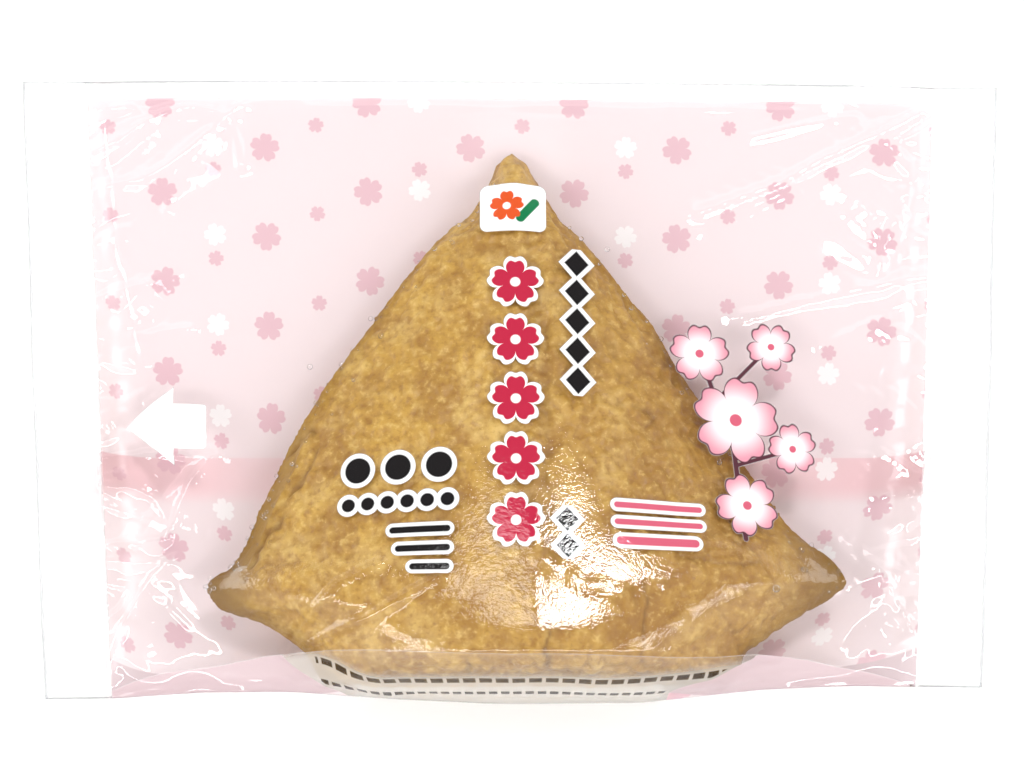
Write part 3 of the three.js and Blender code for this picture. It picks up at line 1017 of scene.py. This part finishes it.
GROUND_INK = linear(249, 231, 233)
GUSSET_INK = linear(215, 191, 195)
BLOSSOM_INK = linear(233, 192, 201)
PALE_BLOSSOM_INK = linear(254, 248, 248)
WHITE_INK = (0.95, 0.95, 0.95, 1)
PANEL_INK = linear(240, 235, 226)
# painted shade at the film's cut and folded edges
EDGE_SHADE_INK = linear(205, 207, 208)
RED_INK = linear(184, 38, 66)
DARK_INK = linear(24, 21, 22)
ORANGE_INK = linear(216, 84, 38)
GREEN_INK = linear(20, 118, 72)
PETAL_INK = linear(222, 150, 166)
PETAL_OUTLINE_INK = linear(86, 48, 58)
STRONG_PINK_INK = linear(208, 96, 118)
FIN_INK = linear(248, 211, 215)  # the ground, with the two layers of the fin behind it
FIN_TOP_Y = -11.5
FIN_WIDTH = 7.0


VALUE, VECTOR = "NodeSocketFloat", "NodeSocketVector"


def least(first, *others):
    for other in others:
        first = maths("MINIMUM", first, other)
    return first


def length(values):
    return vector("LENGTH", values, output="Value")


def join(x, y):
    return add_node(x.tree, "ShaderNodeCombineXYZ", {"X": x, "Y": y})


def node_group(name, inputs, outputs, kind="ShaderNodeTree"):
    """An empty node group, what comes in as flows, and the sockets that take what goes out."""
    group = bpy.data.node_groups.new(name, kind)
    for direction, sockets in (("INPUT", inputs), ("OUTPUT", outputs)):
        for socket_name, socket_kind in sockets.items():
            group.interface.new_socket(socket_name, in_out=direction, socket_type=socket_kind)
    inlet = group.nodes.new("NodeGroupInput")
    flows = [Flow(group, inlet.outputs[socket_name]) for socket_name in inputs]
    return group, flows, group.nodes.new("NodeGroupOutput").inputs


def use_group(tree, group, inputs):
    """Adds a node group to a tree, and gives its outputs as flows."""
    outputs = add_node(tree, "ShaderNodeGroup", inputs, node_tree=group).socket.node.outputs
    return [Flow(tree, socket) for socket in outputs]


def mix_shaders(share, first, second):
    return add_node(first.tree, "ShaderNodeMixShader", {"Fac": share, 1: first, 2: second})


def clear_film(tree):
    return add_node(tree, "ShaderNodeBsdfTransparent", {"Color": (0.985, 0.985, 0.985, 1)})


# A five-petalled blossom: how far inside its outline a point is, in millimetres, and how far out from its
# middle as a share of its radius.
blossom, (point, radius, turn), outlet = node_group(
    "blossom", {"Point": VECTOR, "Radius": VALUE, "Turn": VALUE}, {"Inside": VALUE, "Share": VALUE})
point_x, point_y, _ = split(point)
angle = maths("ARCTAN2", point_y, point_x) + turn
lobe = maths("ABSOLUTE", maths("COSINE", angle * 2.5))
petal = maths("POWER", lobe, 0.5) * 0.52 + 0.48
notch = maths("POWER", lobe, 14.0) * 0.13
put(outlet["Inside"], (petal - notch) * radius - length(point))
put(outlet["Share"], length(point) / radius)

# A half-drop repeat: the point's place in its own tile, and a number of its own for each tile.
half_drop, (point, pitch_across, pitch_down, shift), outlet = node_group(
    "half_drop", {"Point": VECTOR, "Pitch Across": VALUE, "Pitch Down": VALUE, "Shift": VECTOR},
    {"Point": VECTOR, "Draw": VALUE})
point_x, point_y, _ = split(vector("SUBTRACT", point, shift))
tiles_across = point_x / pitch_across
column = maths("FLOOR", tiles_across)
tiles_down = point_y / pitch_down + column % 2.0 * 0.5
in_tile = [(maths("FRACT", tiles) - 0.5) * pitch
           for tiles, pitch in ((tiles_across, pitch_across), (tiles_down, pitch_down))]
put(outlet["Point"], join(*in_tile))
tile_number = {"Vector": join(column, maths("FLOOR", tiles_down))}
put(outlet["Draw"], add_node(
    half_drop, "ShaderNodeTexWhiteNoise", tile_number, "Value", noise_dimensions="2D"))

# The ripples in the film where it clings to the food, as a normal.
ripples, _, outlet = node_group("ripples", {}, {"Normal": VECTOR})
put(outlet["Normal"], add_node(ripples, "ShaderNodeBump", {
    "Strength": attribute_value(ripples, "touch"),
    "Distance": RIPPLE_DEPTH * MM,
    "Height": noise_value(place_in_mm(ripples), 1.6, 2.0, 0.6),
}))


class PrintedFilm:
    """The film's material: clear, glossy, and printed with inks that are laid on one after another."""

    def __init__(self, name):
        self.material = new_material(name)
        self.tree = self.material.node_tree
        web_map = add_node(self.tree, "ShaderNodeUVMap", output="UV", uv_map="web")
        to_mm = {"Vector": web_map, "Location": (-FILM_LENGTH / 2, 0, 0), "Scale": (FILM_LENGTH, GIRTH, 1)}
        self.point = add_node(self.tree, "ShaderNodeMapping", to_mm)
        self.across, self.down, _ = split(self.point)
        self.ink = WHITE_INK
        self.cover = 0.0

    def from_place(self, across, down):
        return vector("SUBTRACT", self.point, (across, down, 0))

    def box(self, across, down, width, height, corner):
        """How far inside a rounded box a point is, as far as the rounding goes."""
        away = vector("ABSOLUTE", self.from_place(across, down))
        half = (width / 2 - corner, height / 2 - corner, 0)
        return corner - length(vector("MAXIMUM", vector("SUBTRACT", away, half), (0, 0, 0)))

    def line(self, ax, ay, bx, by, thickness):
        """How far inside a straight stroke a point is."""
        dx, dy = bx - ax, by - ay
        from_a = self.from_place(ax, ay)
        share = maths("DIVIDE", dot(from_a, (dx, dy, 0)), dx * dx + dy * dy, use_clamp=True)
        return thickness / 2 - length(vector("SUBTRACT", from_a, scaled((dx, dy, 0), share)))

    def blossom(self, point, radius, turn):
        """How far inside a blossom a point is, and how far out from its middle."""
        return use_group(self.tree, blossom, {"Point": point, "Radius": radius, "Turn": turn})

    def stretch(self, low, high):
        """Whether a point is within a stretch of the way down, as a mask."""
        after_start = ramp(self.down, low - INK_EDGE, low + INK_EDGE)
        return after_start * ramp(self.down, high + INK_EDGE, high - INK_EDGE)

    def column(self, across, start, pitch, count):
        """The place within one of the motifs of a column, and the mask of the column's stretch."""
        along = (self.down - start) % pitch
        return join(self.across - across, along - pitch / 2), self.stretch(start, start + pitch * count)

    def lay(self, inside, ink, cover=1.0, spread=0.0, within=None):
        """Lays an ink where a point is inside an outline, or up to spread outside it."""
        mask = ramp(inside, -INK_EDGE - spread, INK_EDGE - spread)
        if within is not None:
            mask = mask * within
        self.ink = blend(mask, self.ink, ink)
        covers = {"Factor": mask, "A": self.cover, "B": cover}
        self.cover = add_node(self.tree, "ShaderNodeMix", covers, "Result")

    def lay_outlined(self, inside, outline, ink, spread, within=None):
        """Lays an ink on an outline of another ink that stands out round it."""
        self.lay(inside, outline, spread=spread, within=within)
        self.lay(inside, ink, within=within)

    def lay_heart(self, out, radius, share, ink, within=None):
        """Lays the round heart of a blossom, which takes up a share of its radius."""
        self.lay((share - out) * radius, ink, within=within)

    def finish(self):
        """Adds fine grey lines of painted shade along the cut and folded edges, and makes the whole of it
        into a shader.
        """
        from_end = FILM_LENGTH / 2 - maths("ABSOLUTE", self.across)
        from_fold = least(self.down, GIRTH - self.down)
        # painted shade: grey lines along the film's cut ends and folds
        for gap, width in ((from_end, CUT_EDGE), (from_fold, FOLD_EDGE)):
            self.lay(width - gap, EDGE_SHADE_INK, EDGE_SHADE_COVER)
        ink_look = {"Base Color": self.ink, "Roughness": 0.5, "Specular IOR Level": 0.0}
        inked = add_node(self.tree, "ShaderNodeBsdfPrincipled", ink_look)
        printed = mix_shaders(self.cover, clear_film(self.tree), inked)
        gloss_look = {"Roughness": GLOSS_ROUGHNESS, "Normal": use_group(self.tree, ripples, {})[0]}
        gloss = add_node(self.tree, "ShaderNodeBsdfGlossy", gloss_look)
        facing = add_node(self.tree, "ShaderNodeLayerWeight", {"Blend": 0.5}, "Facing")
        mirror = maths("POWER", facing, 5.0) * (1 - MIRROR_SHARE) + MIRROR_SHARE
        mirror = mirror * (1 - add_node(self.tree, "ShaderNodeLightPath", output="Is Shadow Ray"))
        finish_material(self.material, mix_shaders(mirror, printed, gloss))
        return self.material


# The back of the web: the rosy ground, deeper where the fin lies behind it, its strewn blossoms, and the
# white panel with two dashed rules.
back_print = PrintedFilm("film_back_print")
back_across, back_down = back_print.across, back_print.down
print_height = GIRTH - CLEAR_TOP - PRINT_START
ground = back_print.box(0, PRINT_START + print_height / 2, 2 * PRINT_HALF_LENGTH, print_height, 0.2)
back_print.lay(ground, GROUND_INK, GROUND_COVER)
below_fin_top = FIN_TOP_Y - split(place_in_mm(back_print.tree))[1]
fin_foot = ramp(below_fin_top, FIN_WIDTH + 0.8, FIN_WIDTH - 2.6)
beside_food = ramp(maths("ABSOLUTE", back_across), 40.0, 60.0, 0.4, 1.0)
back_print.lay(least(below_fin_top, ground), FIN_INK, GROUND_COVER, within=fin_foot * beside_food)
for pitch, shift, radius, ink in (
        (17.0, (2.0, 3.0, 0), 2.6, BLOSSOM_INK), (17.0, (10.5, 6.8, 0), 1.4, BLOSSOM_INK),
        (34.0, (2.0, -4.2, 0), 2.0, PALE_BLOSSOM_INK)):
    tiling = {"Point": back_print.point, "Pitch Across": pitch, "Pitch Down": 15.0, "Shift": shift}
    point, drawn = use_group(back_print.tree, half_drop, tiling)
    inside, _ = back_print.blossom(point, radius, drawn * (2 * math.pi / 5))
    back_print.lay(least(inside, ground), ink, MOTIF_COVER)
gusset_height = GUSSET_END - PRINT_START
gusset = back_print.box(0, PRINT_START + gusset_height / 2, 2 * PRINT_HALF_LENGTH, gusset_height, 0.2)
back_print.lay(gusset, GUSSET_INK, MOTIF_COVER)

# The panel narrows to its dashed rules, which climb at both ends into the folds beside the food.
panel = least(back_across - ramp(back_down, 99.0, 112.0, -38.5, -27.0),
              ramp(back_down, 98.0, 108.0, 42.0, 26.0) - back_across)
climb = ramp(back_across, -20.0, -33.0, 0.0, 4.6) + ramp(back_across, 12.0, 34.0, 0.0, 3.2)
along_rules = back_down + climb
panel_cover = ramp(along_rules, 103.5, 106.0, 0.11, 0.45)
back_print.lay(panel, PANEL_INK, panel_cover, within=back_print.stretch(PRINT_START, PANEL_END))
for down, thickness, pitch, dash in ((106.0, 1.2, 2.6, 2.0), (109.8, 0.9, 2.0, 1.4)):
    rule = thickness / 2 - maths("ABSOLUTE", along_rules - down)
    rule = least(rule, panel - 1.0, back_across + 32.3)
    on_dash = ramp(back_across % pitch, dash + INK_EDGE, dash - INK_EDGE)
    back_print.lay(rule, DARK_INK, RULE_COVER, within=on_dash)
film_back = back_print.finish()

# The front of the web: a white badge, a string of red blossoms, dark diamonds, dots and dashes, a sprig of
# blossom and an arrow that shows where to tear. What lies over the food has an outline, so that it shows.
BADGE = (0.4, 26.2, 10.6, 8.6, 1.3)  # across, down, width, height, corner
BADGE_STROKE = (1.6, 28.2, 3.9, 25.2, 1.5)  # from across and down, to across and down, thickness
BADGE_FLOWER = ((-0.6, 26.0), 2.9, 0.3)  # across and down, radius, turn
BADGE_HEART = 0.22
STRING_OF_BLOSSOMS = (0.7, 34.6, 9.9, 5)  # across, start, pitch, count
STRING_RADIUS = 4.0
STRING_TURN = 0.31
STRING_HEART = 0.2

middle_print = PrintedFilm("film_middle_print")
middle_print.lay(middle_print.box(*BADGE), WHITE_INK)
middle_print.lay(middle_print.line(*BADGE_STROKE), GREEN_INK)
flower_place, radius, turn = BADGE_FLOWER
inside, out = middle_print.blossom(middle_print.from_place(*flower_place), radius, turn)
middle_print.lay(inside, ORANGE_INK)
middle_print.lay_heart(out, radius, BADGE_HEART, WHITE_INK)

point, within = middle_print.column(*STRING_OF_BLOSSOMS)
inside, out = middle_print.blossom(point, STRING_RADIUS, STRING_TURN)
middle_print.lay_outlined(inside, WHITE_INK, RED_INK, 0.75, within)
middle_print.lay_heart(out, STRING_RADIUS, STRING_HEART, WHITE_INK, within)

for across_column, start, pitch, count, half_width, half_height in (
        (10.6, 32.9, 5.1, 5, 2.0, 2.3), (8.6, 76.6, 4.3, 2, 1.8, 2.0)):
    point, within = middle_print.column(across_column, start, pitch, count)
    slant = vector("MULTIPLY", vector("ABSOLUTE", point), (1 / half_width, 1 / half_height, 0))
    diamond = (1 - dot(slant, (1, 1, 0))) * (0.7 * half_width)
    middle_print.lay_outlined(diamond, WHITE_INK, DARK_INK, 0.65, within)

left_print = PrintedFilm("film_left_print")
for left, right, down, pitch, radius in ((-24.6, -11.4, 69.7, 6.6, 2.1), (-26.0, -10.0, 75.4, 3.2, 1.1)):
    along = left_print.across - left
    nearest = maths("MAXIMUM", maths("ROUND", along / pitch) * pitch, 0.0)
    spot = radius - length(join(along - least(nearest, right - left), left_print.down - down))
    left_print.lay_outlined(spot, WHITE_INK, DARK_INK, 0.75)

right_print = PrintedFilm("film_right_print")
DASHES = (
    (left_print, DARK_INK, -18.6, -10.0, 80.2, 1.1), (left_print, DARK_INK, -17.6, -10.0, 83.3, 1.1),
    (left_print, DARK_INK, -15.2, -10.0, 86.4, 1.1), (right_print, STRONG_PINK_INK, 16.4, 29.6, 75.9, 1.0),
    (right_print, STRONG_PINK_INK, 16.4, 29.6, 78.7, 1.0),
    (right_print, STRONG_PINK_INK, 16.8, 28.6, 81.8, 1.4),
)
for side_print, ink, left, right, down, thickness in DASHES:
    side_print.lay_outlined(side_print.line(left, down, right, down, thickness), WHITE_INK, ink, 0.6)

for stroke in ((37.2, 80.5, 36.0, 66.0, 0.9), (36.0, 66.0, 31.5, 52.0, 0.8), (36.2, 68.0, 45.0, 65.0, 0.7),
               (33.5, 57.0, 42.0, 48.0, 0.7)):
    right_print.lay(right_print.line(*stroke), PETAL_OUTLINE_INK)
for across_sprig, down, radius, turn in (
        (30.6, 49.4, 5.0, 0.3), (42.6, 47.6, 4.1, 0.95), (36.4, 60.4, 7.4, 0.1), (46.0, 64.6, 4.2, 0.5),
        (37.8, 74.6, 5.4, 0.75)):
    inside, out = right_print.blossom(right_print.from_place(across_sprig, down), radius, turn)
    petals = blend(ramp(out, 0.25, 0.95), WHITE_INK, PETAL_INK)
    right_print.lay_outlined(inside, PETAL_OUTLINE_INK, petals, 0.3)
    right_print.lay_heart(out, radius, 0.14, STRONG_PINK_INK)

ARROW_TIP = -64.4
ARROW_NECK = -56.2
ARROW_DOWN = 61.0
ARROW_SLANT = 0.8
ARROW_STEM = (-54.3, ARROW_DOWN, 7.4, 7.4, 0.4)

end_print = PrintedFilm("film_end_print")
arrow_head = (end_print.across - ARROW_TIP) * ARROW_SLANT - maths("ABSOLUTE", end_print.down - ARROW_DOWN)
arrow_head = least(arrow_head, ARROW_NECK - end_print.across)
end_print.lay(maths("MAXIMUM", arrow_head, end_print.box(*ARROW_STEM)), WHITE_INK)

# Each part of the front has a material of its own, by how far across the pack it reaches.
FRONT_TOP = 20.0
FRONT_FOOT = 90.0
FRONT_PARTS = (
    (end_print, -66.0, -48.0), (left_print, -30.0, -7.0), (middle_print, -7.0, 14.5),
    (right_print, 14.5, 52.0),
)
face_sizes = np.array([len(face) for face in film_faces])
face_web = np.add.reduceat(web, np.cumsum(face_sizes) - face_sizes) / face_sizes[:, None]
face_across = (face_web[:, 0] - 0.5) * FILM_LENGTH
face_down = face_web[:, 1] * GIRTH
slots = np.where(face_down > PRINT_START - 1, 1, 0)
pack.data.materials.append(PrintedFilm("film_clear").finish())
pack.data.materials.append(film_back)
for slot, (part_print, low, high) in enumerate(FRONT_PARTS, start=2):
    pack.data.materials.append(part_print.finish())
    down_front = (face_down > FRONT_TOP) & (face_down < FRONT_FOOT)
    slots[down_front & (face_across > low) & (face_across <= high)] = slot
slots[np.abs(face_across) > PRINT_HALF_LENGTH + 1] = 0
pack.data.polygons.foreach_set("material_index", slots.astype(np.int32))
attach(pack, "root")
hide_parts("film_pack")


# --- The fin seal --------------------------------------------------------------------------------------
# Where the web's two edges meet, they are welded into a flap that runs along the pack and lies folded flat
# against the back. It carries the back's print, so the ground looks deeper through it.

FIN_GAP = 0.1
FIN_THICKNESS = 0.08
FIN_STEPS = 6

back_rows = np.flatnonzero(~film.front)
fin_points = []
for i in range(column_count):
    thread = net[i, back_rows]
    thread = thread[np.argsort(thread[:, 1])]
    ys = np.linspace(FIN_TOP_Y, FIN_TOP_Y - FIN_WIDTH, FIN_STEPS + 1)
    xs, zs = (np.interp(ys, thread[:, 1], thread[:, k]) for k in (0, 2))
    upper = np.stack([xs, ys, zs - FIN_GAP], -1)
    lower = upper[::-1] - (0, 0, FIN_THICKNESS)
    fin_points.append(np.concatenate([upper, lower]))
ring_size = 2 * (FIN_STEPS + 1)
last_ring = (column_count - 1) * ring_size
fin_faces = [tuple(range(ring_size)), tuple(range(last_ring, last_ring + ring_size))[::-1]]
fin_faces += [(a, d, c, b) for a, b, c, d in tube_faces(column_count, ring_size)]
fin = mesh_object("fin_seal", np.concatenate(fin_points), fin_faces, smooth=False)
mark_points(fin.data, "web_across", np.repeat(film.across, ring_size))
fin_finish = new_material("fin_seal")
tree = fin_finish.node_tree
across_fin = maths("ABSOLUTE", attribute_value(tree, "web_across"))
is_printed = ramp(across_fin, PRINT_HALF_LENGTH + 0.4, PRINT_HALF_LENGTH - 0.4)
inked_fin = add_node(tree, "ShaderNodeBsdfPrincipled", {"Base Color": FIN_INK, "Roughness": 0.4})
finish_material(fin_finish, mix_shaders(is_printed, clear_film(tree), inked_fin))
fin.data.materials.append(fin_finish)
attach(fin, "root")


# --- The droplets --------------------------------------------------------------------------------------
# Steam from the fresh food has condensed into small drops along its edges, under the film.

DROP_SEED = 11
DROP_RADII = (0.16, 0.42)
LARGE_DROP_RADII = (0.4, 0.6)
DROP_FLATNESS = 0.4
LARGE_DROPS = ((-31.6, 1.9), (-26.6, 2.2), (-20.2, 6.1), (-22.1, 9.9), (-43.2, -30.6), (-42.3, -30.9),
               (15.6, 21.6), (45.0, -28.4), (45.2, -31.8), (40.7, -35.0))
STREWN_DROPS = 90

draw_places = np.random.default_rng(DROP_SEED)
drop_sites = []
for y in draw_places.uniform(-36, 32, STREWN_DROPS):
    edge = left_edge if draw_places.random() < 0.6 else right_edge
    inset = abs(draw_places.normal(0, 2.2)) * (1 if edge is left_edge else -1)
    drop_sites.append((np.interp(y, *edge) + inset, y))
drop_sites = np.array(list(LARGE_DROPS) + drop_sites)
_, drop_fold, drop_upper, _ = pouch_levels(drop_sites[:, 0], drop_sites[:, 1])
drop_levels = drop_fold + drop_upper - 0.1
sites = bpy.data.meshes.new("drop_sites")
sites.from_pydata((np.column_stack([drop_sites, drop_levels]) * MM).tolist(), [], [])
sizes = draw_places.uniform(*DROP_RADII, len(drop_sites))
sizes[: len(LARGE_DROPS)] = draw_places.uniform(*LARGE_DROP_RADII, len(LARGE_DROPS))
mark_points(sites, "size", sizes * MM)
drops = bpy.data.objects.new("droplets", sites)
scene.collection.objects.link(drops)

water = new_material("water")
finish_material(water, add_node(water.node_tree, "ShaderNodeBsdfPrincipled", {
    "Base Color": (1, 1, 1, 1),
    "Roughness": 0.02,
    "IOR": 1.33,
    "Transmission Weight": 1.0,
}))

GEOMETRY = "NodeSocketGeometry"
strew, (places, flatness), outlet = node_group(
    "strew_drops", {"Geometry": GEOMETRY, "Flatness": VALUE}, {"Geometry": GEOMETRY}, "GeometryNodeTree")
size = add_node(strew, "GeometryNodeInputNamedAttribute", {"Name": "size"}, "Attribute", data_type="FLOAT")
strewn = add_node(strew, "GeometryNodeInstanceOnPoints", {
    "Points": places,
    "Instance": add_node(strew, "GeometryNodeMeshIcoSphere", {"Radius": 1.0, "Subdivisions": 2}),
    "Scale": add_node(strew, "ShaderNodeCombineXYZ", {"X": size, "Y": size, "Z": size * flatness}),
})
made_real = add_node(strew, "GeometryNodeRealizeInstances", {"Geometry": strewn})
in_water = add_node(strew, "GeometryNodeSetMaterial", {"Geometry": made_real, "Material": water})
put(outlet["Geometry"], in_water)
drop_maker = drops.modifiers.new("strew_drops", "NODES")
drop_maker.node_group = strew
drop_maker[strew.interface.items_tree["Flatness"].identifier] = DROP_FLATNESS
drop_mesh = settled_mesh(drops)
drop_mesh.polygons.foreach_set("use_smooth", np.full(len(drop_mesh.polygons), True))
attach(drops, "root")


low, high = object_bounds()
